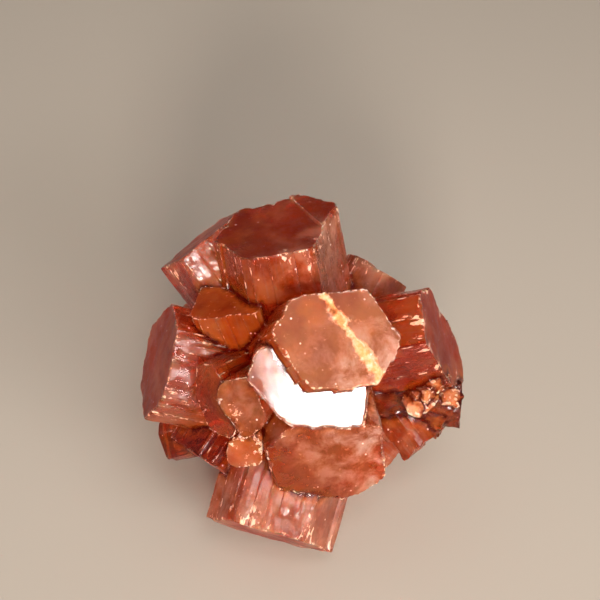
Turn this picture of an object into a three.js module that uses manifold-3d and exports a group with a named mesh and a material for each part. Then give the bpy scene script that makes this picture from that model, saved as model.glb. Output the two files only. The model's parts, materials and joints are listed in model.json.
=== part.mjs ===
// A sputnik aragonite: one natural cluster of six-sided twin crystals that grow outwards from a common heart.
//
// Lengths are millimetres and angles are degrees. Each crystal is described facing the cluster: x to the
// right, y up and z towards the front. The cluster is then leaned back by LEAN, so that it stands on the flat
// end of its foot crystal with +Z up. Its origin is the middle of its bounding box, at the level it stands on.
import * as THREE from "three";
import { mergeVertices } from "three/addons/utils/BufferGeometryUtils.js";
import Module from "manifold-3d";

const wasm = await Module();
wasm.setup();

// Driving dimensions of the cluster.
const LEAN = 50; // from facing the cluster to standing it on its foot
const FOOT_REACH = 20.8; // from the heart to the flat end that it stands on
const HEART_RADIUS = 8.5; // where the crystals have grown into each other

// Driving dimensions of a crystal's surface.
const SIDES = 6;
const END_BEVEL = 0.3; // worn edge round an end face
const CORNER_CUT = 0.3; // worn edge between two side faces
const RIB_NARROWEST = 1.1; // a rib's least width across its side face
const RIB_SPREAD = 2.2; // how much wider the widest rib is
const RIB_HEIGHT = 0.45; // how far the proudest rib stands out
const RIB_LOWEST = 0.12; // a rib lower than this is left out
const RIB_FULL_SHARE = 0.75; // the share of the ribs that run right up to the end face
const RIB_STOP = 4; // the furthest that any other rib stops short of it
const RIB_DRAFT = 0.12; // how much a rib narrows on each side towards its top
const STEP_HEIGHT = 0.3; // a chance growth step on an end face
const STEP_BEVEL = 0.2;
const STEP_SPREAD = 2; // how far to each side of the axis a chance step may start
const SINK = 0.5; // how deep a rib or step is rooted in its crystal
const SHORTEST_EDGE = 0.6; // a step's outline has no shorter edge than this
const ROOT = 1; // how far out from the middle of the heart a crystal starts
const WELD = 1e-4; // corners nearer than this are one corner

// One row for each crystal. heading is the way that it points in the x, y plane, counter-clockwise from +x,
// toward is how far it turns from that plane to the front, and tip is the middle of its end face. A crystal
// with a reach in place of a tip grows straight out of the heart to that length. sides are its side faces'
// distances from its axis, or one distance for all. turn is the first side face's angle about the axis, or
// all of their angles. steps are the growth steps on its end face: the way that each one lies from the axis,
// how far out it starts, its height and its bevel. A crystal with no steps stated has one of chance size.
const CRYSTALS = [
  {
    name: "crown", heading: 101, toward: 31, tip: [-3.0, 16.7, 10.2],
    turn: [28, 86, 154, 224, 270, 329], sides: [6.5, 6.3, 6.2, 7.5, 6.6, 6.6],
    steps: [{ at: 200, from: 4.4, height: 0.35, bevel: 0.2 }],
  },
  {
    name: "shoulder", heading: 127, toward: 8, tip: [-12.3, 15.7, 1.7],
    turn: 30, sides: [5.6, 5.3, 5.4, 5.4, 5.4, 5.5], steps: [],
  },
  {
    name: "wedge", heading: 112, toward: 38, tip: [-8.6, 7.8, 10.2],
    turn: [20, 66, 150, 200, 232, 332], sides: [4.4, 2.4, 4.6, 2.9, 2.6, 4.4], steps: [],
  },
  {
    name: "arm", heading: 167, toward: 19, tip: [-17.4, 0.6, 5.6],
    turn: 30, sides: [6.2, 5.5, 6.2, 6.3, 6.2, 6.2], steps: [],
  },
  {
    name: "cheek", heading: 204, toward: 50, tip: [-10.5, -3.9, 12.0],
    turn: [42, 88, 158, 236, 270, 321], sides: [4.3, 2.6, 4.5, 2.5, 2.3, 3.5], steps: [],
  },
  {
    name: "jowl", heading: 225, toward: 68, tip: [-6.9, -4.5, 14.4],
    turn: [27, 67, 145, 205, 256, 349], sides: [3.2, 2.5, 3.3, 3.2, 2.1, 3.4], steps: [],
  },
  { name: "dusk", heading: 238, toward: 3, tip: [-12.3, -11.3, 0.8], turn: 0, sides: 4.2 },
  { name: "slip", heading: 245, toward: 60, tip: [-6.5, -9.8, 11.8], turn: 10, sides: 2.2, steps: [] },
  {
    name: "mirror", heading: 262, toward: 80, tip: [0.9, -2.6, 17.3],
    turn: [0, 60, 110, 162, 227, 277], sides: [6.9, 6.6, 6.4, 7.3, 4.4, 4.2], steps: [],
  },
  {
    name: "boss", heading: 35, toward: 72, tip: [4.1, 3.6, 18.6],
    turn: [28, 92, 150, 208, 270, 333], sides: [6.9, 6.0, 5.7, 7.0, 6.7, 5.5],
    steps: [{ at: 270, from: 1.4, height: 0.9, bevel: 0.8 }],
  },
  {
    name: "apron", heading: 284, toward: 50, tip: [3.0, -12.0, 10.4],
    turn: [352, 55, 120, 182, 238, 292], sides: [7.2, 8.0, 8.0, 6.3, 4.5, 6.4], steps: [],
  },
  {
    name: "keel", heading: 254, toward: 10, tip: [-3.7, -21.1, 2.2],
    turn: 30, sides: [6.9, 6.8, 7.2, 7.4, 6.8, 6.8], steps: [],
  },
  { name: "fin", heading: 62, toward: -3, tip: [9.5, 11.8, -0.5], turn: 15, sides: 3.7 },
  {
    name: "wing", heading: 12, toward: 19, tip: [17.5, 3.2, 5.8],
    turn: [4, 71, 136, 178, 270, 315], sides: [6.8, 7.4, 5.6, 5.6, 6.0, 3.9], steps: [],
  },
  { name: "spur", heading: 352, toward: 4, tip: [19.8, -4.6, 2.8], turn: 10, sides: 2.7 },
  { name: "hip", heading: 336, toward: 4, tip: [18.3, -6.2, 1.3], turn: 20, sides: 3.1 },
  { name: "haunch", heading: 307, toward: 6, tip: [15.4, -9.8, 1.0], turn: 5, sides: 3.0 },
  {
    name: "splinter_out", heading: 20, toward: 55, tip: [18.6, -3.2, 5.6],
    turn: 12, sides: [1.5, 1.2, 1.5, 1.3, 1.5, 1.2], steps: [],
  },
  {
    name: "splinter_mid", heading: 340, toward: 62, tip: [16.4, -3.9, 6.3],
    turn: 50, sides: [1.3, 1.6, 1.3, 1.5, 1.3, 1.6], steps: [],
  },
  {
    name: "splinter_in", heading: 300, toward: 58, tip: [14.4, -5.0, 6.9],
    turn: 30, sides: [1.6, 1.3, 1.5, 1.3, 1.6, 1.4], steps: [],
  },
  { name: "foot", heading: 270, toward: LEAN - 90, reach: FOOT_REACH, turn: 0, sides: 5.6, steps: [] },
  { name: "back_crown", heading: 97, toward: -38, reach: 19, turn: 10, sides: 6.0 },
  { name: "back_left", heading: 174, toward: -40, reach: 19, turn: 35, sides: 6.0 },
  { name: "back_dusk", heading: 195, toward: -14, tip: [-16.6, -9.7, -4.5], turn: 15, sides: 2.6 },
  { name: "back_boss", heading: 60, toward: -84, reach: 20, turn: 20, sides: 6.4 },
  { name: "back_wing", heading: 8, toward: -35, reach: 19, turn: 5, sides: 6.0 },
  { name: "back_hip", heading: 318, toward: -38, reach: 17.5, turn: 25, sides: 5.2 },
  { name: "back_fin", heading: 45, toward: -32, reach: 15.5, turn: 0, sides: 4.5 },
  { name: "back_shoulder", heading: 132, toward: -35, reach: 18, turn: 20, sides: 5.3 },
  { name: "back_keel", heading: 225, toward: -62, reach: 18.5, turn: 40, sides: 5.0 },
];

const radians = THREE.MathUtils.degToRad;

// Chance numbers from 0 to 1, the same row each time, started anew for each crystal.
function dice(seed) {
  let state = seed * 7919 + 17;
  return () => {
    state = (state * 48271) % 2147483647;
    return state / 2147483647;
  };
}

function solidOf(geometry) {
  const bare = new THREE.BufferGeometry();
  bare.setAttribute("position", geometry.getAttribute("position"));
  if (geometry.index) bare.setIndex(geometry.index);
  const merged = mergeVertices(bare, WELD);
  const mesh = new wasm.Mesh({
    numProp: 3,
    vertProperties: merged.getAttribute("position").array,
    triVerts: new Uint32Array(merged.index.array),
  });
  return new wasm.Manifold(mesh);
}

function geometryOf(solid) {
  const mesh = solid.getMesh();
  const geometry = new THREE.BufferGeometry();
  geometry.setAttribute("position", new THREE.BufferAttribute(new Float32Array(mesh.vertProperties), 3));
  geometry.setIndex(new THREE.BufferAttribute(new Uint32Array(mesh.triVerts), 1));
  geometry.computeVertexNormals();
  return geometry;
}

// A crystal's own axes: across and over span its cross-section, and along is its axis, pointing out to its end.
function axesOf(crystal) {
  const heading = radians(crystal.heading);
  const toward = radians(crystal.toward);
  const along = new THREE.Vector3(
    Math.cos(toward) * Math.cos(heading),
    Math.cos(toward) * Math.sin(heading),
    Math.sin(toward),
  );
  const across = new THREE.Vector3(-Math.sin(heading), Math.cos(heading), 0);
  const over = along.clone().cross(across);
  return { along, across, over };
}

// The side faces of a cross-section: each one's outward normal and its distance from the axis.
function facesOf(crystal) {
  const distances = Array.isArray(crystal.sides) ? crystal.sides : Array(SIDES).fill(crystal.sides);
  return distances.map((distance, i) => {
    const angle = radians(crystal.turn[i] ?? crystal.turn + (360 / SIDES) * i);
    return { normal: new THREE.Vector2(Math.cos(angle), Math.sin(angle)), distance };
  });
}

// The corners of a cross-section, counter-clockwise: corner i lies between face i and the next one.
function cornersOf(faces) {
  return faces.map((face, i) => {
    const next = faces[(i + 1) % faces.length];
    const det = face.normal.cross(next.normal);
    return new THREE.Vector2(
      (face.distance * next.normal.y - next.distance * face.normal.y) / det,
      (next.distance * face.normal.x - face.distance * next.normal.x) / det,
    );
  });
}

// An outline with each corner cut off a little, as wear leaves it.
function wornOutline(corners, cut) {
  return corners.flatMap((corner, i) => {
    const before = corners[(i + corners.length - 1) % corners.length];
    const after = corners[(i + 1) % corners.length];
    return [before, after].map((other) => {
      const way = other.clone().sub(corner);
      return corner.clone().addScaledVector(way, cut / way.length());
    });
  });
}

// The part of an outline that lies at least a given distance out in one direction.
function outlineBeyond(outline, direction, from) {
  const out = (point) => point.dot(direction) - from;
  const kept = outline.flatMap((point, i) => {
    const next = outline[(i + 1) % outline.length];
    const here = out(point);
    const there = out(next);
    const points = here >= 0 ? [point] : [];
    if (here * there < 0) points.push(point.clone().lerp(next, here / (here - there)));
    return points;
  });
  return kept.filter((point, i) => point.distanceTo(kept[(i + 1) % kept.length]) > SHORTEST_EDGE);
}

// A bar of the given outline from one height to another along the crystal, with a bevel round its ends.
function bar(outline, low, high, bevel) {
  const geometry = new THREE.ExtrudeGeometry(new THREE.Shape(outline), {
    depth: high - low - 2 * bevel,
    bevelEnabled: bevel > 0,
    bevelSize: bevel,
    bevelThickness: bevel,
    bevelOffset: -bevel,
    bevelSegments: 1,
    curveSegments: 1,
  });
  geometry.translate(0, 0, low + bevel);
  return solidOf(geometry);
}

// Ribs along one side face: neighbouring strips that stand out by different heights.
function ribsOn(face, left, right, root, roll) {
  const tangent = new THREE.Vector2(-face.normal.y, face.normal.x);
  const place = (s, height) =>
    face.normal.clone().multiplyScalar(face.distance + height).addScaledVector(tangent, s);
  const last = right - CORNER_CUT;
  const ribs = [];
  let end = left + CORNER_CUT;
  while (end < last - RIB_NARROWEST) {
    const start = end;
    end = Math.min(start + RIB_NARROWEST + RIB_SPREAD * roll(), last);
    const height = RIB_HEIGHT * roll();
    const stop = roll() < RIB_FULL_SHARE ? END_BEVEL * roll() : RIB_STOP * roll();
    if (height < RIB_LOWEST) continue;
    const outline = [
      place(start, -SINK),
      place(start, 0),
      place(start + RIB_DRAFT, height),
      place(end - RIB_DRAFT, height),
      place(end, 0),
      place(end, -SINK),
    ].reverse();
    ribs.push(bar(outline, -root, -stop, 0));
  }
  return ribs;
}

// Growth steps on the end face: those that the crystal's row gives, or else one of chance size and side.
function stepsOn(crystal, corners, roll) {
  const chance = {
    at: 360 * roll(),
    from: STEP_SPREAD * (2 * roll() - 1),
    height: STEP_HEIGHT,
    bevel: STEP_BEVEL,
  };
  return (crystal.steps ?? [chance]).map(({ at, from, height, bevel }) => {
    const direction = new THREE.Vector2(Math.cos(radians(at)), Math.sin(radians(at)));
    const outline = outlineBeyond(wornOutline(corners, CORNER_CUT), direction, from);
    return bar(outline, -2 * bevel - SINK, height, bevel);
  });
}

// One crystal: a six-sided bar with worn edges, with its ribs and its growth steps, from the heart to its tip.
function crystalSolid(crystal, number) {
  const roll = dice(number + 1);
  const axes = axesOf(crystal);
  const tip = crystal.tip
    ? new THREE.Vector3(...crystal.tip)
    : axes.along.clone().multiplyScalar(crystal.reach);
  const root = tip.dot(axes.along) - ROOT;
  const faces = facesOf(crystal);
  const corners = cornersOf(faces);
  const parts = [bar(wornOutline(corners, CORNER_CUT), -root, 0, END_BEVEL)];
  faces.forEach((face, i) => {
    const tangent = new THREE.Vector2(-face.normal.y, face.normal.x);
    const right = corners[i].dot(tangent);
    const left = corners[(i + SIDES - 1) % SIDES].dot(tangent);
    parts.push(...ribsOn(face, left, right, root, roll));
  });
  parts.push(...stepsOn(crystal, corners, roll));
  const place = new THREE.Matrix4().makeBasis(axes.across, axes.over, axes.along).setPosition(tip);
  return wasm.Manifold.union(parts).transform(place.elements);
}

const heart = solidOf(new THREE.IcosahedronGeometry(HEART_RADIUS, 1));
const cluster = wasm.Manifold.union([heart, ...CRYSTALS.map(crystalSolid)]);

const amber = new THREE.MeshStandardMaterial({ color: 0xa8481c, roughness: 0.25, metalness: 0 });
const crystals = new THREE.Mesh(geometryOf(cluster), amber);
crystals.name = "crystal_cluster";
crystals.rotation.x = radians(LEAN);

const specimen = new THREE.Group();
specimen.add(crystals);
const box = new THREE.Box3().setFromObject(specimen, true);
specimen.position.set(-(box.min.x + box.max.x) / 2, -(box.min.y + box.max.y) / 2, -box.min.z);

export default specimen;
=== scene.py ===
"""A sputnik aragonite: a natural cluster of six-sided twin crystals that grow outwards from one heart."""

import json
import math
from types import SimpleNamespace

import bmesh
import bpy
from mathutils import Matrix, Vector, noise
from mathutils.kdtree import KDTree


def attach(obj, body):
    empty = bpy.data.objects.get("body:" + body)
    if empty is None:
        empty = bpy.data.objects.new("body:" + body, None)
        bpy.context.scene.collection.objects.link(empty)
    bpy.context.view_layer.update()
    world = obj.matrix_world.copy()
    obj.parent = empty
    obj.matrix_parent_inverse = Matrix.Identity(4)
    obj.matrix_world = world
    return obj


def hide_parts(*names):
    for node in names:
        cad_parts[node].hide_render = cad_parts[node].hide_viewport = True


bl_info = {
    "name": "Sputnik Aragonite",
    "version": (1, 0, 0),
    "blender": (4, 5, 0),
    "location": "View3D > Sidebar > Aragonite",
    "description": "Grows a cluster of aragonite twin crystals over its packed frame and sets the studio round it",
    "category": "Add Mesh",
}

MM = 0.001
NODE = "crystal_cluster"
PIECE = "aragonite"
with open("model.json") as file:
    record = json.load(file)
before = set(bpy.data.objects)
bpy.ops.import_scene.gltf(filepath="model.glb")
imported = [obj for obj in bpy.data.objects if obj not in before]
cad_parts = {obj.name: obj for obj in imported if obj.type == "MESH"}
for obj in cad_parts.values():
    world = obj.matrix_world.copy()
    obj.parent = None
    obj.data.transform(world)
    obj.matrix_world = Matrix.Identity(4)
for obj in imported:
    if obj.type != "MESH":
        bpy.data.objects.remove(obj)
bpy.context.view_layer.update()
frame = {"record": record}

# ---------------------------------------------------------------------------------------------------------
# The crystals. Lengths in this section are millimetres and angles are degrees. Each crystal is described
# facing the cluster: x to the right, y up and z towards the front. LEAN leans the cluster back to stand it
# on its foot.
#
# heading  the way that the crystal points in the x, y plane
# toward   how far it turns to the front
# tip      the middle of its end face, or reach: how far that is from the heart
# turn     the first side face's angle about the axis, or each one's
# sides    the side faces' distances from the axis
# steps    low steps across the end face: angle, distance from the axis, height and width of the slope
# relief   how strong the end face's low relief is
# rough    how strong the relief of a broken crystal is
# veil     how milky the crystal is, most of all at the angle veil_at, where it has one
# body     the share of it that is opaque
# frost    how much of its surface is broken into pale flecks, which also paint glints
# vein     half the width of the pale vein along its step
# dull     how weathered its end face is, from -1, like a mirror, to 1
# end      the tint of its end face
# side     the tint of its side faces, or each one's
# Some tints paint light and shade: tan on lit faces, umber and blood on faces in shade, rose where a face catches
# a lamp's reflection.
# ---------------------------------------------------------------------------------------------------------

LEAN = 50
FOOT_REACH = 20.8
SIDES = 6

USUAL = dict(rough=0, relief=1, veil=0.3, veil_at=None, frost=0.45, vein=0, dull=1)
GLOSSY = dict(dull=0)
TALL = dict(steps=(), relief=2.2)
# DARK paints shade: crystals that lie in shadow are given deep red all over.
DARK = dict(veil=0.05, body=0, frost=0.1, end="blood", side="blood")
BROKEN = dict(frost=0.1, veil=0.35, dull=0.4, body=0.2, end="umber", side="umber")
SPLINTER = dict(rough=0.4, dull=0, body=0.6, frost=1.2, end="rose", side="rose")
BACK = dict(body=0.25, veil=0.9)

CRYSTALS = (
    dict(name="crown", heading=101, toward=31, tip=(-3.0, 16.7, 10.2), turn=(28, 86, 154, 224, 270, 329),
         sides=(6.5, 6.3, 6.2, 7.5, 6.6, 6.6), steps=((200, 4.4, 0.35, 0.2),), veil=0.6, veil_at=165,
         body=0.15, frost=0.58, end="umber", side=("rust", "rust", "tan", "rust", "rust", "rust")),
    dict(TALL, name="shoulder", heading=127, toward=8, tip=(-12.3, 15.7, 1.7), turn=30,
         sides=(5.6, 5.3, 5.4, 5.4, 5.4, 5.5), veil=0.4,
         end="blood", side=("blood", "rose", "rust", "rust", "rust", "blood")),
    dict(GLOSSY, name="wedge", heading=112, toward=38, tip=(-8.6, 7.8, 10.2), turn=(20, 66, 150, 200, 232, 332),
         sides=(4.4, 2.4, 4.6, 2.9, 2.6, 4.4), steps=(), veil=0.05, body=0.25, frost=0.2,
         end="amber", side="amber"),
    dict(TALL, name="arm", heading=167, toward=19, tip=(-17.4, 0.6, 5.6), turn=30,
         sides=(6.2, 5.5, 6.2, 6.3, 6.2, 6.2), veil=0.3, frost=0.4,
         end="blood", side=("amber", "rose", "rust", "rust", "rust", "rust")),
    dict(GLOSSY, name="cheek", heading=204, toward=50, tip=(-10.5, -3.9, 12.0), turn=(42, 88, 158, 236, 270, 321),
         sides=(4.3, 2.6, 4.5, 2.5, 2.3, 3.5), steps=(), veil=0.15,
         end="rust", side=("rust", "amber", "amber", "blood", "blood", "blood")),
    dict(GLOSSY, name="jowl", heading=225, toward=68, tip=(-6.9, -4.5, 14.4), turn=(27, 67, 145, 205, 256, 349),
         sides=(3.2, 2.5, 3.3, 3.2, 2.1, 3.4), steps=(), veil=0.5, end="tan", side="amber"),
    dict(DARK, name="dusk", heading=238, toward=3, tip=(-12.3, -11.3, 0.8), turn=0, sides=4.2),
    dict(GLOSSY, name="slip", heading=245, toward=60, tip=(-6.5, -9.8, 11.8), turn=(22, 78, 134, 192, 248, 305),
         sides=(1.9, 2.9, 1.9, 2.0, 2.9, 2.1), steps=(), body=0.3, frost=0.9, end="amber", side="amber"),
    dict(name="mirror", heading=262, toward=80, tip=(0.9, -2.6, 17.3), turn=(0, 60, 110, 162, 227, 277),
         sides=(6.9, 6.6, 6.4, 7.3, 4.4, 4.2), steps=(), veil=0.5, relief=0.1, dull=-1, frost=0.02,
         end="rose", side="rust"),
    dict(GLOSSY, name="boss", heading=35, toward=72, tip=(4.1, 3.6, 18.6), turn=(28, 92, 150, 208, 270, 333),
         sides=(6.9, 6.0, 5.7, 7.0, 6.7, 5.5), steps=((270, 1.4, 0.45, 0.8),), vein=0.6, veil=1.1,
         veil_at=185, frost=0.3, end="tan", side="amber"),
    dict(GLOSSY, name="apron", heading=284, toward=50, tip=(3.0, -12.0, 10.4),
         turn=(352, 55, 120, 182, 238, 292), sides=(7.2, 8.0, 8.0, 6.3, 4.5, 6.4), steps=(), veil=1.3,
         veil_at=25, body=0.12, frost=0.35, end="amber", side="rust"),
    dict(TALL, name="keel", heading=254, toward=10, tip=(-3.7, -21.1, 2.2), turn=30,
         sides=(6.9, 6.8, 7.2, 7.4, 6.8, 6.8), veil=0.6, frost=0.8,
         end="blood", side=("rose", "rose", "amber", "rust", "rust", "rust")),
    dict(name="fin", heading=62, toward=-3, tip=(9.5, 11.8, -0.5), turn=15, sides=3.7, veil=0.6, frost=0.6,
         end="rust", side="tan"),
    dict(TALL, name="wing", heading=12, toward=19, tip=(17.5, 3.2, 5.8), turn=(4, 71, 136, 178, 270, 315),
         sides=(6.8, 7.4, 4.7, 5.6, 6.0, 3.9), veil=0.12, body=0.12, frost=0.8,
         end="blood", side=("rust", "amber", "blood", "blood", "rust", "rust")),
    dict(name="spur", heading=352, toward=4, tip=(19.8, -4.6, 2.8), turn=10, sides=2.7, rough=0.8, dull=0.3,
         frost=0.3, veil=0.08, end="rust", side="blood"),
    dict(BROKEN, name="hip", heading=336, toward=4, tip=(18.3, -6.2, 1.3), turn=20, sides=3.1, rough=0.8),
    dict(BROKEN, name="haunch", heading=307, toward=6, tip=(15.4, -9.8, 1.0), turn=5, sides=3.0, rough=0.6),
    dict(SPLINTER, name="splinter_out", heading=15, toward=55, tip=(18.4, -3.5, 5.5), turn=12,
         sides=(1.4, 1.1, 1.4, 1.2, 1.3, 1.1), steps=((190, -0.9, 0.9, 1.6),), veil=0.9),
    dict(SPLINTER, name="splinter_mid", heading=340, toward=62, tip=(15.9, -3.5, 6.6), turn=50,
         sides=(1.2, 1.5, 1.2, 1.4, 1.2, 1.4), steps=((70, -0.9, 0.9, 1.6),), veil=0.6),
    dict(SPLINTER, name="splinter_in", heading=300, toward=58, tip=(13.9, -4.9, 6.8), turn=30,
         sides=(1.1, 0.9, 1.0, 0.9, 1.1, 0.9), steps=((310, -0.9, 0.9, 1.6),), veil=0.9),
    dict(BACK, name="foot", heading=270, toward=LEAN - 90, reach=FOOT_REACH, turn=0, sides=5.6, steps=(),
         end="rust", side=("rust", "tan", "rust", "amber", "rust", "rust")),
    dict(BACK, name="back_crown", heading=97, toward=-38, reach=19, turn=10, sides=6.0, frost=0.6,
         end="tan", side=("rust", "rose", "rust", "amber", "rose", "rust")),
    dict(BACK, name="back_left", heading=174, toward=-40, reach=19, turn=35, sides=6.0,
         end="rust", side=("amber", "rose", "amber", "rust", "rose", "amber")),
    dict(DARK, name="back_dusk", heading=195, toward=-14, tip=(-16.6, -9.7, -4.5), turn=15, sides=2.6),
    dict(BACK, name="back_boss", heading=60, toward=-84, reach=20, turn=20, sides=6.4, veil_at=60,
         end="tan", side=("rust", "amber", "rose", "rust", "amber", "rose")),
    dict(BACK, name="back_wing", heading=8, toward=-35, reach=19, turn=5, sides=6.0, end="amber", side="rose"),
    dict(BACK, name="back_hip", heading=318, toward=-38, reach=17.5, turn=25, sides=5.2,
         end="amber", side="rust"),
    dict(BACK, name="back_fin", heading=45, toward=-32, reach=15.5, turn=0, sides=4.5, end="rust", side="rust"),
    dict(BACK, name="back_shoulder", heading=132, toward=-35, reach=18, turn=20, sides=5.3, veil_at=200,
         frost=0.6, end="umber", side=("amber", "tan", "amber", "rust", "tan", "rust")),
    dict(BACK, name="back_keel", heading=225, toward=-62, reach=18.5, turn=40, sides=5.0,
         end="rust", side=("amber", "rust", "rose", "amber", "rust", "rose")),
    dict(SPLINTER, name="splinter_high", heading=340, toward=50, tip=(16.8, -2.1, 6.9), turn=35,
         sides=(1.3, 1.4, 1.2, 1.3, 1.4, 1.2), steps=((20, -0.8, 0.8, 1.5),), veil=0.7),
    dict(SPLINTER, name="splinter_low", heading=320, toward=55, tip=(15.0, -4.3, 6.6), turn=15,
         sides=(1.1, 1.3, 1.2, 1.3, 1.1, 1.2), steps=((240, -0.8, 0.8, 1.5),), veil=0.8),
)
CRYSTALS = tuple({**USUAL, **crystal} for crystal in CRYSTALS)
HEART_TINT = "rust"

# The forms that every crystal shares, in millimetres, and shares of 1.

HEART_RADIUS = 8.5
HEART_LEVELS = 4
HEART_GRAIN = 0.6
ROOT = 1
END_BEVEL = 0.3
CORNER_CUT = 0.3
RIB_NARROWEST = 1.1
RIB_SPREAD = 2.2
RIB_HEIGHT = 0.45
RIB_LOWEST = 0.12
RIB_FULL_SHARE = 0.75
RIB_STOP = 4
RIB_DRAFT = 0.12
RIB_EDGE_SHARE = 0.6
RIB_SCALE = 0.8
RIB_RUN_OUT = 1.3
RIB_WANDER = 0.9
STEP_HEIGHT = 0.3
STEP_BEVEL = 0.2
STEP_SPREAD = 2
POINT_GAP = 0.04
ROW_FIRST = 0.15
ROW_GROWTH = 1.4
ROW_CLOSE = 0.42
ROW_WIDE = 1.4
ROW_MARGIN = 0.5
GRID_SLANT = 0.13
NEAR_SIDE = 1
NEAR_RIM = 0.3
NEAR_CORNER = 0.4
END_DEPTH = 0.5
CHIP_FULL_SIZE = 6
VEIL_MIDDLE = 0.5
VEIL_SLOPE = 0.7
VEIL_MOST = 1.4
VEIL_BODY = 0.3
SHARP_EDGE = 32
RIM_EDGE = 28

# Noise for the relief. Each number is how often it repeats in a millimetre. SEED_GAP keeps crystals apart,
# and the numbers that are added to a seed keep one crystal's noises apart.

SEED_GAP = 17.3
LINE_GRAIN = 2.1
FINE_LINE_GRAIN = 4.7
LINE_DRIFT_GRAIN = 0.45
NICK_GRAIN = 0.7
FINE_NICK_GRAIN = 2.3
NICK_BASE = 0.22
CORNER_GRAIN = 0.8
BREAK_GRAIN = 0.9
FINE_BREAK_GRAIN = 2.3
END_GRAIN = 0.3
FINE_END_GRAIN = 0.9
BROKEN_END_GRAIN = 0.7
BROKEN_END_SINK = 0.3
RIB_GRAIN = 1.1
VEIN_GRAIN = 0.35
FINE_VEIN_GRAIN = 1.3
VEIN_CRUST_GRAIN = 1.4
VEIN_NARROWEST = 0.3
VEIN_TAPER = 0.09


def dice(seed):
    """Chance numbers from 0 to 1, the same row each time, as the frame's own crystals use."""
    state = seed * 7919 + 17
    while True:
        state = state * 48271 % 2147483647
        yield state / 2147483647


def wobble(x, y, z, scale):
    """Smooth noise from about -1 to 1."""
    return noise.noise(Vector((x * scale, y * scale, z * scale)))


def clamp(value, low=0, high=1):
    return min(max(value, low), high)


def way_at(angle):
    """The way across a crystal at an angle about its axis."""
    return Vector((math.cos(math.radians(angle)), math.sin(math.radians(angle))))


def heart_place():
    """Where the crystals grow from: straight above the face that the cluster rests on."""
    rest = next(m for m in frame["record"]["mounts"] if m["name"] == "rest_face")
    return Vector(rest["pos_m"]) + Vector((0, 0, FOOT_REACH * MM))


def faces_of(crystal):
    """The side faces of a cross-section: each one's outward normal, tangent and distance from the axis."""
    sides, turn = crystal["sides"], crystal["turn"]
    sides = sides if isinstance(sides, tuple) else (sides,) * SIDES
    turns = turn if isinstance(turn, tuple) else [turn + 360 / SIDES * i for i in range(SIDES)]
    faces = []
    for angle, distance in zip(turns, sides):
        normal = way_at(angle)
        faces.append((normal, Vector((-normal.y, normal.x)), distance))
    return faces


def mean_reach(faces):
    return sum(distance for _, _, distance in faces) / SIDES


def corners_of(faces):
    """The corners of a cross-section: corner i lies between side face i and the next one."""
    corners = []
    for (normal, _, distance), (after, _, reach) in zip(faces, faces[1:] + faces[:1]):
        det = normal.x * after.y - normal.y * after.x
        corners.append(Vector((
            (distance * after.y - reach * normal.y) / det,
            (reach * normal.x - distance * after.x) / det,
        )))
    return corners


def spans_of(faces):
    """Where each side face begins and ends, along its tangent."""
    corners = corners_of(faces)
    return [
        (corners[i - 1].dot(tangent), corners[i].dot(tangent))
        for i, (_, tangent, _) in enumerate(faces)
    ]


def ribs_of(left, right, roll):
    """The ribs along one side face: start, end, height, and how far they stop short of the end face."""
    ribs = []
    last = right - CORNER_CUT
    end = left + CORNER_CUT
    while end < last - RIB_NARROWEST:
        start = end
        end = min(start + RIB_NARROWEST + RIB_SPREAD * next(roll), last)
        height = RIB_HEIGHT * next(roll)
        full = next(roll) < RIB_FULL_SHARE
        stop = (END_BEVEL if full else RIB_STOP) * next(roll)
        if height >= RIB_LOWEST:
            ribs.append((start, end, height, stop))
    return ribs


def rib_height(ribs, s, a):
    """How far the ribs stand out at s along the side face and a along the crystal."""
    for start, end, height, stop in ribs:
        if start < s < end:
            slope = min((s - start) / RIB_DRAFT, (end - s) / RIB_DRAFT, 1)
            rise = RIB_EDGE_SHARE + (1 - RIB_EDGE_SHARE) * slope
            fade = stop + RIB_WANDER * wobble(s, stop, 0, RIB_GRAIN)
            run = clamp((-fade - a) / RIB_RUN_OUT) if stop > END_BEVEL else 1
            return height * rise * run
    return 0


def stations_of(left, right, ribs, spacing):
    """Places along a side face that get a column of points: each rib's edges, and fill between them."""
    marks = {left + CORNER_CUT, right - CORNER_CUT}
    for start, end, _, _ in ribs:
        marks.update((start, start + RIB_DRAFT, end - RIB_DRAFT, end))
    slack = 1e-6
    low, high = left + CORNER_CUT - slack, right - CORNER_CUT + slack
    marks = sorted(m for m in marks if low <= m <= high)
    stations = [marks[0]]
    for mark in marks[1:]:
        gap = mark - stations[-1]
        if gap < POINT_GAP:
            continue
        parts = max(1, round(gap / spacing))
        before = stations[-1]
        stations += [before + gap * (k + 1) / parts for k in range(parts)]
    return stations


def rows_of(root, rough):
    """How far down from its end face a crystal gets a ring of points: close at the end, wider further down."""
    rows, depth, pitch = [], 0.0, ROW_FIRST
    while depth + pitch < root - ROW_MARGIN:
        depth += pitch
        rows.append(-depth)
        limit = ROW_CLOSE if rough or depth < RIB_STOP + 1 else ROW_WIDE
        pitch = min(pitch * ROW_GROWTH, limit)
    return rows


def placement_of(crystal, heart):
    """The matrix from a crystal's own axes, in millimetres, to the frame, in metres, and its root's depth."""
    heading = math.radians(crystal["heading"])
    toward = math.radians(crystal["toward"])
    along = Vector((
        math.cos(toward) * math.cos(heading),
        math.cos(toward) * math.sin(heading),
        math.sin(toward),
    ))
    across = Vector((-math.sin(heading), math.cos(heading), 0))
    over = along.cross(across)
    tip = Vector(crystal["tip"]) if "tip" in crystal else along * crystal["reach"]
    local = Matrix((across, over, along)).transposed().to_4x4()
    local.translation = tip
    lean = Matrix.Rotation(math.radians(LEAN), 4, "X")
    return Matrix.Translation(heart) @ Matrix.Scale(MM, 4) @ lean @ local, tip.dot(along) - ROOT


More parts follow.
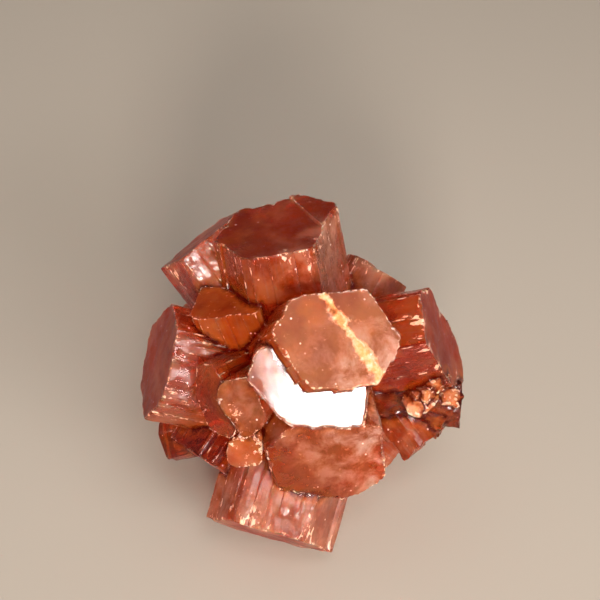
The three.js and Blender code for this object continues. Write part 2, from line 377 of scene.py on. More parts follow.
def add_layers(bm):
    """Adds the values that the tints and the material read from the mesh."""
    for name in ("crystal", "end", "sheet"):
        bm.faces.layers.int.new(name)
    for name in ("veil", "frost", "vein", "body"):
        bm.verts.layers.float.new(name)
    bm.loops.layers.float_vector.new("grain")


def add_bar(bm, faces, spans, ribs, root, spacing):
    """Adds a plain bar with a column of points at every station, and marks its end face and side faces.

    Extruding a region would make the side faces in another order each time. Extruding one face alone keeps
    their order, but uses the face up, so the end face is made after it. The strip along a corner is as near
    to one side face as to the next, and the order of its points settles which, so it is measured reversed.
    """
    end_layer = bm.faces.layers.int["end"]
    sheet_layer = bm.faces.layers.int["sheet"]
    outline = []
    for (normal, tangent, distance), (left, right), own in zip(faces, spans, ribs):
        for s in stations_of(left, right, own, spacing):
            spot = normal * distance + tangent * s
            outline.append(bm.verts.new((spot.x, spot.y, 0)))
    down = bmesh.ops.extrude_discrete_faces(bm, faces=[bm.faces.new(outline[::-1])])
    bmesh.ops.translate(bm, verts=down["faces"][0].verts, vec=(0, 0, -root))
    bm.faces.new(outline)
    bmesh.ops.reverse_faces(bm, faces=bm.faces)
    for face in bm.faces:
        middle = face.calc_center_median()
        face[end_layer] = int(middle.z > -1e-6)
        face[sheet_layer] = max(range(SIDES), key=lambda k: middle.to_2d().dot(faces[k][0]) - faces[k][2])
    bmesh.ops.recalc_face_normals(bm, faces=bm.faces)


def slice_all(bm, point, normal):
    geometry = bm.verts[:] + bm.edges[:] + bm.faces[:]
    bmesh.ops.bisect_plane(bm, geom=geometry, dist=1e-5, plane_co=point, plane_no=normal)


def slice_end(bm, point, normal):
    """Cuts the end face alone. A dict keeps its parts in order, which a set of them wouldn't do."""
    end_layer = bm.faces.layers.int["end"]
    ends = [f for f in bm.faces if f[end_layer]]
    edges = dict.fromkeys(e for f in ends for e in f.edges)
    verts = dict.fromkeys(v for f in ends for v in f.verts)
    geometry = [*verts, *edges, *ends]
    bmesh.ops.bisect_plane(bm, geom=geometry, dist=1e-5, plane_co=point, plane_no=normal)


def cut_grid(bm, reach, pitch):
    """Cuts the end face into small cells, for its relief."""
    for way in (Vector((1, GRID_SLANT, 0)).normalized(), Vector((-GRID_SLANT, 1, 0)).normalized()):
        for k in range(-int(reach / pitch), int(reach / pitch) + 1):
            slice_end(bm, way * pitch * k, way)


def frost_at(s, d, seed, amount):
    """How broken the surface is at s along a side face and d from the rim, from 0 to 1."""
    patch = wobble(s * 0.55, d * 0.16, seed + 3, 1.0) + 0.5 * wobble(s * 1.7, d * 0.45, seed + 7, 1.0)
    return clamp(amount * (0.75 + 1.6 * patch - 0.22 * d))


def depths_of(crystal, faces, p):
    """The depths of a crystal's relief, in millimetres. A small crystal has small chips."""
    small = min((mean_reach(faces) / CHIP_FULL_SIZE) ** 2, 1)
    return SimpleNamespace(
        striation=p.striation_depth / MM,
        chip=p.chip_depth / MM * small,
        wear=p.edge_wear / MM * small,
        broken=p.rough_depth / MM * crystal["rough"],
        relief=p.end_relief / MM * crystal["relief"],
    )


def side_shift(i, s, a, corner, ribs, frost, depths, seed):
    """How far side face i stands out at s along it and a along the crystal, corner from its corner."""
    lines = wobble(s, i * 7.1, seed, LINE_GRAIN) + 0.6 * wobble(s, i * 3.3, seed, FINE_LINE_GRAIN)
    drift = 0.7 + 0.6 * wobble(s * 0.3, a, seed + 5, LINE_DRIFT_GRAIN)
    out = RIB_SCALE * rib_height(ribs, s, a) + depths.striation * lines * drift
    nick = wobble(s, i * 5.7, seed + 9, NICK_GRAIN) + 0.7 * wobble(s, i * 5.7, seed + 4, FINE_NICK_GRAIN)
    near_rim = max(0, 1 + a / NEAR_RIM)
    out -= near_rim * (depths.chip * max(0, nick - NICK_BASE) + (depths.wear if a > -1e-6 else 0))
    near_corner = max(0, 1 + corner / NEAR_CORNER)
    out -= near_corner * 0.4 * depths.chip * max(0, wobble(a, i * 9.1, seed + 2, CORNER_GRAIN))
    out -= frost * depths.chip * (0.25 + 0.5 * wobble(s * 1.6, a * 0.6, seed + 8, 1.0))
    if depths.broken:
        broken = wobble(s, a + i * 11, seed, BREAK_GRAIN) + 0.5 * wobble(s, a, seed + 3, FINE_BREAK_GRAIN)
        out += depths.broken * broken
    return out


def vein_at(flat, way, off, width, seed):
    """How much a point of the end face belongs to the vein, off from the vein's middle."""
    across = flat.dot(Vector((-way.y, way.x)))
    ragged = 1.1 * wobble(across, seed, 0, VEIN_GRAIN) + 0.7 * wobble(across, seed, 0, FINE_VEIN_GRAIN)
    width *= 0.75 - VEIN_TAPER * across + ragged
    return clamp(1.4 - abs(off) / max(width, VEIN_NARROWEST))


def end_lift(flat, steps, vein_width, depths, seed):
    """How far a point of the end face is lifted, and how much it belongs to the vein."""
    x, y = flat
    lift = vein = 0
    for at, start, height, bevel in steps:
        way = way_at(at)
        reach = flat.dot(way) - start
        lift += height * clamp(reach / bevel)
        if vein_width:
            vein = vein_at(flat, way, reach - bevel / 2, vein_width, seed)
            lift += vein * (0.12 + 0.22 * wobble(x, y, seed, VEIN_CRUST_GRAIN))
    lift += depths.relief * (wobble(x, y, seed, END_GRAIN) + 0.4 * wobble(x, y, seed, FINE_END_GRAIN))
    if depths.broken:
        lift += depths.broken * (wobble(x, y, seed, BROKEN_END_GRAIN) - BROKEN_END_SINK)
    return lift, vein


def shift_points(bm, faces, ribs, steps, crystal, number, p):
    """Moves each point of a plain bar to its place on the ribs, striations, steps and worn edges."""
    depths = depths_of(crystal, faces, p)
    frost_layer = bm.verts.layers.float["frost"]
    vein_layer = bm.verts.layers.float["vein"]
    seed = number * SEED_GAP
    for v in bm.verts:
        flat = v.co.to_2d()
        a = v.co.z
        away = [flat.dot(normal) - distance for normal, _, distance in faces]
        i = max(range(SIDES), key=lambda k: away[k])
        normal, tangent, _ = faces[i]
        s = flat.dot(tangent)
        inside = away[i]
        frost = frost_at(s + i * 9, -a - 2.0 * inside, seed, crystal["frost"])
        shift = Vector((0, 0))
        lift = 0
        if inside > -NEAR_SIDE:
            corner = sorted(away)[-2]
            out = side_shift(i, s, a, corner, ribs[i], frost, depths, seed)
            shift = normal * out * (1 + inside / NEAR_SIDE)
        if a > -END_DEPTH:
            lift, v[vein_layer] = end_lift(flat, steps, crystal["vein"], depths, seed)
            lift *= 1 + a / END_DEPTH
        v[frost_layer] = frost
        v.co += Vector((shift.x, shift.y, lift))


def set_veil(bm, crystal, faces):
    """Gives each point its share of milk and of opaque matter."""
    veil_layer = bm.verts.layers.float["veil"]
    body_layer = bm.verts.layers.float["body"]
    size = mean_reach(faces)
    body = crystal.get("body", VEIL_BODY * crystal["veil"])
    for v in bm.verts:
        share = 1
        if crystal["veil_at"] is not None:
            reach = v.co.to_2d().dot(way_at(crystal["veil_at"]))
            share = clamp(VEIL_MIDDLE + VEIL_SLOPE * reach / size, 0, VEIL_MOST)
        v[veil_layer] = crystal["veil"] * share
        v[body_layer] = body


def set_grain(bm, number, scale=1):
    """Gives each face its crystal's number, and each corner its place in the crystal, in millimetres."""
    crystal_layer = bm.faces.layers.int["crystal"]
    grain = bm.loops.layers.float_vector["grain"]
    for face in bm.faces:
        face[crystal_layer] = number
        for loop in face.loops:
            loop[grain] = loop.vert.co / scale


def mesh_of(bm, name):
    mesh = bpy.data.meshes.new(name)
    bm.to_mesh(mesh)
    bm.free()
    return mesh


def crystal_mesh(crystal, number, heart, p):
    """One crystal as a mesh in the frame: a six-sided bar, its ribs, striations, steps and worn edges."""
    roll = dice(number + 1)
    matrix, root = placement_of(crystal, heart)
    faces = faces_of(crystal)
    spans = spans_of(faces)
    ribs = [ribs_of(left, right, roll) for left, right in spans]
    chance = (360 * next(roll), STEP_SPREAD * (2 * next(roll) - 1), STEP_HEIGHT, STEP_BEVEL)
    steps = crystal.get("steps", (chance,))
    bm = bmesh.new()
    add_layers(bm)
    add_bar(bm, faces, spans, ribs, root, p.column_width / MM)
    for row in rows_of(root, crystal["rough"]):
        slice_all(bm, (0, 0, row), (0, 0, 1))
    for at, start, _, bevel in steps:
        way = way_at(at).to_3d()
        for reach in (start, start + bevel):
            slice_end(bm, way * reach, way)
    widest = max(abs(x) for span in spans for x in span) + max(distance for _, _, distance in faces)
    cut_grid(bm, widest, p.end_pitch / MM)
    shift_points(bm, faces, ribs, steps, crystal, number, p)
    set_veil(bm, crystal, faces)
    set_grain(bm, number)
    bmesh.ops.transform(bm, matrix=matrix, verts=bm.verts)
    return mesh_of(bm, crystal["name"])


def heart_mesh(heart, p):
    """The ball that the crystals have grown out of."""
    bm = bmesh.new()
    add_layers(bm)
    bmesh.ops.create_icosphere(bm, subdivisions=HEART_LEVELS, radius=HEART_RADIUS * MM)
    for v in bm.verts:
        v.co += v.co.normalized() * p.rough_depth * noise.noise(v.co / MM * HEART_GRAIN)
    set_grain(bm, -1, MM)
    bmesh.ops.translate(bm, verts=bm.verts, vec=heart)
    return mesh_of(bm, "heart")


def add_object(name, mesh):
    piece = bpy.data.objects.new(name, mesh)
    bpy.context.scene.collection.objects.link(piece)
    return piece


def grow_cluster(p):
    """Joins the heart and every crystal in one closed mesh."""
    heart = heart_place()
    body = add_object("body", heart_mesh(heart, p))
    grown = []
    for number, crystal in enumerate(CRYSTALS):
        grown.append(add_object(crystal["name"], crystal_mesh(crystal, number, heart, p)))
        joint = body.modifiers.new(crystal["name"], "BOOLEAN")
        joint.operation = "UNION"
        joint.solver = "MANIFOLD"
        joint.object = grown[-1]
    evaluated = body.evaluated_get(bpy.context.evaluated_depsgraph_get())
    mesh = bpy.data.meshes.new_from_object(evaluated)
    mesh.name = PIECE
    for piece in grown + [body]:
        bpy.data.objects.remove(piece)
    mark_edges(mesh)
    return add_object(PIECE, mesh)


def is_rim(edge, number):
    """Whether an edge of one crystal is sharp and whole: a broken crystal and the heart have no rims."""
    whole = number >= 0 and not CRYSTALS[number]["rough"]
    return whole and edge.calc_face_angle_signed() > math.radians(RIM_EDGE)


def mark_edges(mesh):
    """Marks how far each point is from the nearest rim, and from the nearest join of two crystals."""
    mesh.shade_smooth()
    mesh.set_sharp_from_angle(angle=math.radians(SHARP_EDGE))
    bm = bmesh.new()
    bm.from_mesh(mesh)
    crystal_layer = bm.faces.layers.int["crystal"]
    joins, rims = set(), set()
    for edge in bm.edges:
        if len(edge.link_faces) == 2:
            one, other = (face[crystal_layer] for face in edge.link_faces)
            if one != other:
                joins.update(v.index for v in edge.verts)
            elif is_rim(edge, one):
                rims.update(v.index for v in edge.verts)
    places = [v.co.copy() for v in bm.verts]
    for name, marked in (("join", joins), ("rim", rims)):
        tree = KDTree(len(marked))
        for k in sorted(marked):
            tree.insert(places[k], k)
        tree.balance()
        attribute = mesh.attributes.new(name, "FLOAT", "POINT")
        attribute.data.foreach_set("value", [tree.find(place)[2] / MM for place in places])
    bm.free()


def tint_of(number, end, sheet):
    """The name of a face's tint."""
    if number < 0:
        return HEART_TINT
    name = CRYSTALS[number]["end" if end else "side"]
    return name if isinstance(name, str) else name[sheet]


def dullness_of(number, end):
    """How weathered a face is: -1 is like a mirror, 1 is matt."""
    if number < 0:
        return 0.0
    crystal = CRYSTALS[number]
    return float(max(end, crystal["rough"]) * crystal["dull"])


def paint_faces(piece, finish):
    """Gives each face its tint and its dullness, as attributes on the mesh."""
    mesh = piece.data
    numbers, ends, sheets = (
        [d.value for d in mesh.attributes[name].data] for name in ("crystal", "end", "sheet")
    )
    names = [tint_of(*face) for face in zip(numbers, ends, sheets)]
    tints = {name: (*getattr(finish, name), 1) for name in set(names)}
    tint = mesh.attributes.new("tint", "FLOAT_COLOR", "FACE")
    tint.data.foreach_set("color", [c for name in names for c in tints[name]])
    side = mesh.attributes.new("side_face", "FLOAT", "FACE")
    side.data.foreach_set("value", [1.0 - end for end in ends])
    dull = mesh.attributes.new("dull", "FLOAT", "FACE")
    dull.data.foreach_set("value", [dullness_of(number, end) for number, end in zip(numbers, ends)])


# ---------------------------------------------------------------------------------------------------------
# Settings.
# ---------------------------------------------------------------------------------------------------------


def length(name, description, default):
    return bpy.props.FloatProperty(
        name=name, description=description, default=default, min=0, unit="LENGTH", precision=5
    )


def colour(name, description, default):
    return bpy.props.FloatVectorProperty(
        name=name, description=description, default=default, min=0, max=1, subtype="COLOR"
    )


def number(name, description, default, low=0.0, high=1.0):
    return bpy.props.FloatProperty(name=name, description=description, default=default, min=low, max=high)


class AragoniteShape(bpy.types.PropertyGroup):
    column_width: length("Column width", "Spacing of the points across a side face", 0.32 * MM)
    striation_depth: length("Striation depth", "Depth of the fine lines along a crystal", 0.07 * MM)
    chip_depth: length("Chip depth", "Depth of the nicks in worn edges", 0.7 * MM)
    edge_wear: length("Edge wear", "Width of the worn edge round an end face", 0.1 * MM)
    rough_depth: length("Broken relief", "Relief of the broken crystals", 0.5 * MM)
    end_pitch: length("End pitch", "Spacing of the points on an end face", 0.6 * MM)
    end_relief: length("End relief", "Low relief of the end faces", 0.12 * MM)


class AragoniteFinish(bpy.types.PropertyGroup):
    tan: colour("Tan", "Lit, cloudy crystal", (0.70, 0.225, 0.065))
    # Rose is pale pink that partly paints sheen: it goes on faces that catch a lamp's reflection, such as the
    # mirror's end face and the arm, shoulder and keel fronts.
    rose: colour("Rose", "Side faces with a pale bloom", (0.88, 0.34, 0.18))
    amber: colour("Amber", "Clear orange-brown crystal", (0.84, 0.18, 0.014))
    rust: colour("Rust", "Red-brown crystal", (0.80, 0.15, 0.02))
    # Umber is deep brown; on the crown's end face, which faces up away from the front lamps, it paints shade.
    umber: colour("Umber", "Deep brown crystal", (0.52, 0.09, 0.012))
    # Blood is deep red that paints shade on end and side faces turned away from the lamps and on the crystals that
    # lie in shadow.
    blood: colour("Blood", "Deep red crystal", (0.62, 0.05, 0.006))
    # Cream is fresh broken crystal; as the colour of the flecks it also paints glints.
    cream: colour("Cream", "Fresh broken crystal", (1.0, 0.68, 0.48))
    # Spark paints glints: the colour of tiny bright specks that stand in for reflections of the lamps.
    spark: colour("Spark", "Tiny bright specks", (1.0, 0.82, 0.70))
    peach: colour("Peach", "The vein that crosses the broadest end face", (0.98, 0.42, 0.15))
    glow: colour("Glow", "Bright orange light from inside", (0.98, 0.26, 0.02))
    # Painted shade: the dark red laid in the crevices where crystals meet.
    seam: colour("Seam", "Dark red where crystals meet", (0.14, 0.005, 0.001))
    # Cloud is also laid over rims and frosted patches as painted sheen.
    cloud: colour("Cloud", "Milky veils inside the crystals", (0.66, 0.35, 0.25))
    deepening: colour("Deepening", "What deep parts multiply their tint by", (0.60, 0.32, 0.25))
    roughness: number("Roughness", "How matt the crystal faces are", 0.12)
    clarity: number("Clarity", "Share of light that passes into the clearest crystal", 0.95)
    dullness: number("Dullness", "How much more matt the weathered end faces are", 0.3)
    gloss: number("Gloss", "Strength of the reflections", 0.35)
    ior: number("Refraction", "The crystals' index of refraction", 1.4, 1.0, 2.5)
    depth_colour: colour("Depth colour", "Colour of light that has crossed the crystals", (0.95, 0.40, 0.08))
    depth_density: number("Depth density", "How fast light is absorbed, for a metre", 120.0, 0.0, 2000.0)


class AragoniteStage(bpy.types.PropertyGroup):
    floor: colour("Floor", "The pale floor", (0.50, 0.43, 0.35))
    view_distance: length("View distance", "From the camera to the heart of the cluster", 0.25)
    view_height: number("View height", "The camera's angle above the floor", 40.0, -90.0, 90.0)


# ---------------------------------------------------------------------------------------------------------
# Material. A noise is how often it repeats in a metre, its detail, roughness and distortion. A grain is how
# often a pattern repeats in a millimetre across, over and along a crystal. A range is where a value starts
# to count and where it counts in full. join and rim are distances in millimetres.
# ---------------------------------------------------------------------------------------------------------

NOISES = dict(
    fine=(1400, 3, 0.6, 0.0),
    depths=(210, 6, 0.6, 0.1),
    glows=(260, 4, 0.55, 0.1),
    clouds=(260, 6, 0.65, 0.3),
    gloss=(900, 4, 0.6, 0.0),
    waves=(350, 3, 0.5, 0.0),
    pits=(1500, 5, 0.65, 0.0),
)
GRAINS = dict(
    streaks=(2.6, 2.6, 0.13),
    flakes=(4.5, 4.5, 1.6),
    cells=(2.6, 2.6, 1.1),
    lines=(4.0, 4.0, 0.12),
)
RANGES = dict(
    fine=(0.3, 0.7),
    depths=(0.38, 0.62),
    glows=(0.48, 0.70),
    clouds=(0.42, 0.62),
    streaks=(0.48, 0.66),
    flakes=(0.40, 0.60),
    cells=(0.2, 0.8),
    gloss=(0.35, 0.75),
    band=(1.6, 0.4),
    seam=(0.85, 0.15),
    rim=(0.25, 0.05),
    strand=(0.25, 0.9),
    crust=(0.45, 0.72),
    fleck=(1.0, 1.12),
    sparkle=(0.16, 0.06),
    chosen=(0.70, 0.74),
)
SHARES = dict(deep=(0.75, 0.5), glows=0.6, streaks=(0.12, 0.5), band=0.7, seam=0.95, bloom=0.4, fleck=0.75)
JOIN_RAGGED = 0.25
VEIN_RAGGED = 0.35
RIM_FROST_AND_HIGHLIGHT = 0.85
SIDE_RIM = 0.75
CELL_SHARE = 0.5
FLAKE_SHARE = 0.6
EDGE_SHARE = 0.45
MILK_BODY = 0.4
OPAQUE_CLARITY = 0.1
GLOSS_SPREAD = (0.5, 2)
MIRROR_GLOSS = 0.6
SPARKLE_SCALE = 1000.0
CHIP_SCALE = 1800.0
LINE_RELIEF = 0.3
PIT_RELIEF = 0.6
WAVE_RELIEF = (0.1, 0.5)
CHIP_RELIEF = 1.5
BUMP_STRENGTH = 0.6
BUMP_DEPTH = 0.15 * MM
SCATTER_RADIUS = (1.2 * MM, 0.5 * MM, 0.3 * MM)


class Nodes:
    """Adds shader nodes and links them by name."""

    def __init__(self, name):
        self.material = bpy.data.materials.new(name)
        self.material.use_nodes = True
        self.tree = self.material.node_tree
        self.tree.nodes.clear()

    def add(self, kind, values=None, **settings):
        node = self.tree.nodes.new(kind)
        for key, value in settings.items():
            setattr(node, key, value)
        for key, value in (values or {}).items():
            socket = node.inputs[key]
            if isinstance(value, bpy.types.NodeSocket):
                self.tree.links.new(value, socket)
            else:
                socket.default_value = value
        return node

    def attribute(self, name, output="Fac"):
        return self.add("ShaderNodeAttribute", attribute_name=name).outputs[output]

    def scaled(self, vector, scale):
        return self.add("ShaderNodeMapping", {"Vector": vector, "Scale": scale}).outputs["Vector"]

    def noise(self, vector, scale, detail, roughness, distortion=0.0):
        values = {"Vector": vector, "Scale": scale, "Detail": detail, "Roughness": roughness,
                  "Distortion": distortion}
        return self.add("ShaderNodeTexNoise", values).outputs["Fac"]

    def cells(self, vector, scale=1.0):
        return self.add("ShaderNodeTexVoronoi", {"Vector": vector, "Scale": scale}).outputs

    def span(self, value, low, high, out_low=0.0, out_high=1.0):
        values = {"Value": value, "From Min": low, "From Max": high, "To Min": out_low, "To Max": out_high}
        return self.add("ShaderNodeMapRange", values).outputs["Result"]

    def math(self, kind, first, second):
        return self.add("ShaderNodeMath", {0: first, 1: second}, operation=kind).outputs[0]

    def plus(self, first, second):
        return self.math("ADD", first, second)

    def times(self, first, second):
        return self.math("MULTIPLY", first, second)

    def blend(self, share, first, second, kind="MIX"):
        node = self.add("ShaderNodeMix", data_type="RGBA", blend_type=kind)
        for socket, value in zip((node.inputs[0], node.inputs[6], node.inputs[7]), (share, first, second)):
            if isinstance(value, bpy.types.NodeSocket):
                self.tree.links.new(value, socket)
            elif isinstance(value, float):
                socket.default_value = value
            else:
                socket.default_value = (*value, 1)
        return node.outputs[2]


def patterns_of(n):
    """The values that the mesh carries, and the patterns that the colour and the relief are made of."""
    m = SimpleNamespace(place=n.add("ShaderNodeTexCoord").outputs["Object"])
    m.grain = n.attribute("grain", "Vector")
    m.tint = n.attribute("tint", "Color")
    m.side = n.attribute("side_face")
    for name in ("join", "rim", "veil", "frost", "vein", "dull", "body"):
        setattr(m, name, n.attribute(name))
    for name, (scale, detail, roughness, distortion) in NOISES.items():
        setattr(m, name, n.noise(m.place, scale, detail, roughness, distortion))
    m.clouds = n.span(m.clouds, *RANGES["clouds"])
    m.milk = n.times(m.clouds, m.veil)
    m.streaks = n.span(n.noise(n.scaled(m.grain, GRAINS["streaks"]), 1.0, 4, 0.65), *RANGES["streaks"])
    m.flakes = n.noise(n.scaled(m.grain, GRAINS["flakes"]), 1.0, 5, 0.7)
    m.lines = n.noise(n.scaled(m.grain, GRAINS["lines"]), 1.0, 2, 0.5)
    m.cells = n.span(n.cells(n.scaled(m.grain, GRAINS["cells"]))["Color"], *RANGES["cells"])
    # Painted highlight: near a sharp rim a point counts as frosted, so rims are drawn pale as if catching the
    # light; the same edge value also gives chips in the relief.
    rim = n.times(n.span(m.rim, *RANGES["rim"], 0.0, RIM_FROST_AND_HIGHLIGHT), n.span(m.side, 0.0, 1.0, 1.0, SIDE_RIM))
    m.edge = n.math("MAXIMUM", m.frost, rim)
    strand = n.plus(m.vein, n.span(m.fine, *RANGES["fine"], -VEIN_RAGGED, VEIN_RAGGED))
    m.strand = n.span(strand, *RANGES["strand"])
    # Flecks are pale cream specks, partly fresh broken crystal and partly painted glints along rims and frosted
    # patches.
    fleck = n.plus(n.times(m.cells, CELL_SHARE), n.times(m.flakes, FLAKE_SHARE))
    m.fleck = n.span(n.plus(fleck, n.times(m.edge, EDGE_SHARE)), *RANGES["fleck"])
    # Painted glints: tiny cells chosen at random get the spark colour, standing in for reflections of the lamps.
    dots = n.cells(m.place, SPARKLE_SCALE)
    m.sparkle = n.times(n.span(dots["Distance"], *RANGES["sparkle"]), n.span(dots["Color"], *RANGES["chosen"]))
    return m


def crystal_colour(n, m, finish):
    """The tint, then what lies over it: depths, painted glows, milk, streaks, a painted glow band and painted
    shade at joins, the vein, bloom that is partly painted sheen, flecks that are partly painted glints, and
    painted sparkle.
    """
    share = n.times(n.span(m.depths, *RANGES["depths"]), n.span(m.veil, 0.0, 0.8, *SHARES["deep"]))
    base = n.blend(share, m.tint, n.blend(1.0, m.tint, finish.deepening, "MULTIPLY"))
    base = n.blend(n.times(n.span(m.glows, *RANGES["glows"]), SHARES["glows"]), base, finish.glow)
    base = n.blend(m.milk, base, finish.cloud)
    streaks = n.times(n.times(m.streaks, m.side), n.span(m.veil, 0.0, 0.6, *SHARES["streaks"]))
    base = n.blend(streaks, base, finish.cloud)
    join = n.plus(m.join, n.span(m.fine, *RANGES["fine"], -JOIN_RAGGED, JOIN_RAGGED))
    # Painted glow: an orange band of light along the joins between crystals.
    base = n.blend(n.span(join, *RANGES["band"], 0.0, SHARES["band"]), base, finish.glow)
    # Painted shade: dark red in the crevices where crystals meet.
    base = n.blend(n.span(join, *RANGES["seam"], 0.0, SHARES["seam"]), base, finish.seam)
    crust = n.blend(n.span(m.fine, *RANGES["crust"]), finish.peach, finish.cream)
    base = n.blend(m.strand, base, crust)
    # Bloom: a pale veil over rims and frosted patches, partly frosting and partly painted sheen.
    bloom = n.times(m.edge, n.span(m.flakes, *RANGES["flakes"]))
    base = n.blend(n.times(bloom, SHARES["bloom"]), base, finish.cloud)
    base = n.blend(n.times(m.fleck, SHARES["fleck"]), base, finish.cream)
    return n.blend(m.sparkle, base, finish.spark)


def crystal_roughness(n, m, finish):
    least, most = (finish.roughness * share for share in GLOSS_SPREAD)
    rough = n.span(m.gloss, *RANGES["gloss"], least, most)
    rough = n.times(rough, n.span(m.dull, -1.0, 0.0, MIRROR_GLOSS, 1.0))
    return n.plus(rough, n.times(n.math("MAXIMUM", m.dull, 0.0), finish.dullness))


def crystal_bump(n, m):
    """Low relief that is too fine for the mesh: lines along the crystal, pits, waves and chipped edges."""
    relief = n.times(n.times(m.lines, m.side), LINE_RELIEF)
    relief = n.plus(relief, n.times(m.pits, n.span(m.dull, -1.0, 1.0, 0.0, PIT_RELIEF)))
    relief = n.plus(relief, n.times(m.waves, n.span(m.dull, -1.0, 0.0, *WAVE_RELIEF)))
    chips = n.cells(m.place, CHIP_SCALE)["Distance"]
    relief = n.plus(relief, n.times(n.times(m.edge, chips), CHIP_RELIEF))
    bump = {"Height": relief, "Strength": BUMP_STRENGTH, "Distance": BUMP_DEPTH}
    return n.add("ShaderNodeBump", bump).outputs["Normal"]


def crystal_material(finish):
    n = Nodes("aragonite")
    m = patterns_of(n)
    opaque = n.plus(n.math("MAXIMUM", m.fleck, m.sparkle), m.strand)
    opaque = n.plus(opaque, n.plus(m.body, n.times(m.milk, MILK_BODY)))
    shader = n.add("ShaderNodeBsdfPrincipled", {
        "Base Color": crystal_colour(n, m, finish),
        "Roughness": crystal_roughness(n, m, finish),
        "IOR": finish.ior,
        "Specular IOR Level": finish.gloss,
        "Transmission Weight": n.span(opaque, 0.0, 1.0, finish.clarity, OPAQUE_CLARITY),
        "Subsurface Weight": 1.0,
        "Subsurface Radius": SCATTER_RADIUS,
        "Subsurface Scale": 1.0,
        "Normal": crystal_bump(n, m),
    })
    depth = n.add("ShaderNodeVolumeAbsorption", {
        "Color": (*finish.depth_colour, 1), "Density": finish.depth_density,
    })
    n.add("ShaderNodeOutputMaterial", {"Surface": shader.outputs[0], "Volume": depth.outputs[0]})
    return n.material


def floor_material(stage):
    n = Nodes("studio_floor")
    shader = n.add("ShaderNodeBsdfPrincipled", {"Base Color": (*stage.floor, 1), "Roughness": FLOOR_ROUGHNESS})
    n.add("ShaderNodeOutputMaterial", {"Surface": shader.outputs[0]})
    return n.material


# ---------------------------------------------------------------------------------------------------------
# Stage. Lengths are metres. A light's way is the way to it from the heart, and its spread is in degrees.
# ---------------------------------------------------------------------------------------------------------

FLOOR_HALF = 2
FLOOR_CELLS = 8
FLOOR_ROUGHNESS = 0.8
LENS = 120
SENSOR = 36
CAMERA_RISE = 8.125 * MM
SKY_COLOUR = (0.9, 0.92, 1.0, 1)
SKY_STRENGTH = 0.04
LAMP_WARM = (1.0, 0.95, 0.90)
LAMP_BACK = (1.0, 0.94, 0.88)
LIGHTS = (
    dict(name="glare", way=(0.039, -0.9340, 0.3541), distance=0.5112, size=(0.100, 0.080), radiance=112,
         tint=LAMP_WARM, spread=60),
    dict(name="window", way=(0.45, -0.78, 0.43), distance=0.5, size=(0.34, 0.08), radiance=26,
         tint=(1.0, 0.97, 0.97), spread=100),
    dict(name="strip", way=(0.10, -0.545, 0.82), distance=0.6, size=(0.20, 0.12), radiance=14,
         tint=(1.0, 0.97, 1.0), spread=70),
    dict(name="key", way=(0.50, -0.42, 0.76), distance=0.6, size=(0.30, 0.30), radiance=1.9,
         tint=(1.0, 0.92, 0.84), spread=70),
    dict(name="fill", way=(-0.75, -0.35, 0.55), distance=0.7, size=(0.40, 0.40), radiance=0.4,
         tint=LAMP_WARM, spread=80),
    dict(name="top", way=(0.0, 0.10, 0.99), distance=1.2, size=(1.6, 1.6), radiance=0.45,
         tint=LAMP_WARM, spread=150),
    dict(name="back_left", way=(-0.62, 0.76, 0.18), distance=0.7, size=(0.30, 0.30), radiance=3.0,
         tint=LAMP_BACK, spread=60),
    dict(name="back_right", way=(0.62, 0.76, 0.18), distance=0.7, size=(0.30, 0.30), radiance=3.0,
         tint=LAMP_BACK, spread=60),
)


def area_light(name, target, way, distance, size, radiance, tint, spread):
    """A softbox that faces its target from a given way, with a given radiance and angle of spread."""
    way = Vector(way).normalized()
    data = bpy.data.lights.new(name, "AREA")
    data.shape = "RECTANGLE"
    data.size, data.size_y = size
    data.spread = math.radians(spread)
    half = math.radians(spread) / 2
    data.energy = radiance * math.pi * size[0] * size[1] * (1 - half / math.tan(half))
    data.color = tint
    light = add_object(name, data)
    light.location = Vector(target) + way * distance
    light.rotation_euler = way.to_track_quat("Z", "Y").to_euler()


def set_floor(stage):
    bm = bmesh.new()
    bmesh.ops.create_grid(bm, x_segments=FLOOR_CELLS, y_segments=FLOOR_CELLS, size=FLOOR_HALF)
    floor = add_object("floor", mesh_of(bm, "floor"))
    floor.data.materials.append(floor_material(stage))


def set_camera(stage, heart):
    height = math.radians(stage.view_height)
    back = Vector((0, -math.cos(height), math.sin(height)))
    up = Vector((0, math.sin(height), math.cos(height)))
    data = bpy.data.cameras.new("camera")
    data.lens = LENS
    data.sensor_width = SENSOR
    camera = add_object("camera", data)
    camera.location = heart + back * stage.view_distance + up * CAMERA_RISE
    camera.rotation_euler = (math.radians(90) - height, 0, 0)
    bpy.context.scene.camera = camera


def set_world():
    world = bpy.data.worlds.new("studio")
    bpy.context.scene.world = world
    world.use_nodes = True
    background = world.node_tree.nodes["Background"].inputs
    background["Color"].default_value = SKY_COLOUR
    background["Strength"].default_value = SKY_STRENGTH
    bpy.context.scene.view_settings.view_transform = "Standard"


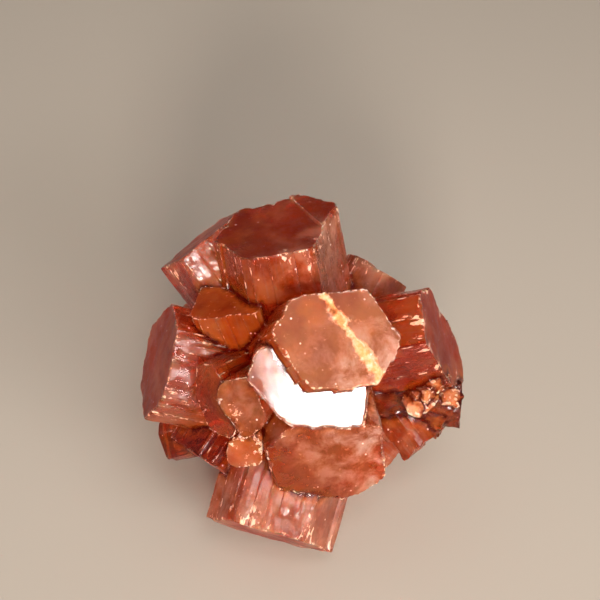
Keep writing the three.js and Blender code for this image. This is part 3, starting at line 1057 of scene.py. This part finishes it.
# ---------------------------------------------------------------------------------------------------------
# Operators and panel.
# ---------------------------------------------------------------------------------------------------------


class ARAGONITE_OT_cluster(bpy.types.Operator):
    """Grow the cluster of crystals"""

    bl_idname = "aragonite.cluster"
    bl_label = "Crystal Cluster"

    def execute(self, context):
        settings = context.scene
        piece = grow_cluster(settings.aragonite_shape)
        paint_faces(piece, settings.aragonite_finish)
        piece.data.materials.clear()
        piece.data.materials.append(crystal_material(settings.aragonite_finish))
        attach(piece, "root")
        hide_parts(NODE)
        return {"FINISHED"}


class ARAGONITE_OT_stage(bpy.types.Operator):
    """Set the floor, the lights and the camera"""

    bl_idname = "aragonite.stage"
    bl_label = "Studio Stage"

    def execute(self, context):
        stage = context.scene.aragonite_stage
        heart = heart_place()
        set_floor(stage)
        set_camera(stage, heart)
        for light in LIGHTS:
            area_light(target=heart, **light)
        set_world()
        return {"FINISHED"}


class ARAGONITE_PT_panel(bpy.types.Panel):
    """Lists what the add-on makes"""

    bl_idname = "ARAGONITE_PT_panel"
    bl_label = "Aragonite"
    bl_space_type = "VIEW_3D"
    bl_region_type = "UI"
    bl_category = "Aragonite"

    def draw(self, context):
        for operator in OPERATORS:
            self.layout.operator(operator.bl_idname)
        for name in SETTINGS:
            group = getattr(context.scene, name)
            for key in group.__annotations__:
                self.layout.prop(group, key)


OPERATORS = (ARAGONITE_OT_stage, ARAGONITE_OT_cluster)
SETTINGS = {
    "aragonite_shape": AragoniteShape,
    "aragonite_finish": AragoniteFinish,
    "aragonite_stage": AragoniteStage,
}
CLASSES = (*SETTINGS.values(), *OPERATORS, ARAGONITE_PT_panel)


def register():
    for cls in CLASSES:
        bpy.utils.register_class(cls)
    for name, cls in SETTINGS.items():
        setattr(bpy.types.Scene, name, bpy.props.PointerProperty(type=cls))


def unregister():
    for name in SETTINGS:
        delattr(bpy.types.Scene, name)
    for cls in reversed(CLASSES):
        bpy.utils.unregister_class(cls)


def main():
    register()
    bpy.ops.aragonite.stage()
    bpy.ops.aragonite.cluster()


if __name__ == "__main__":
    main()
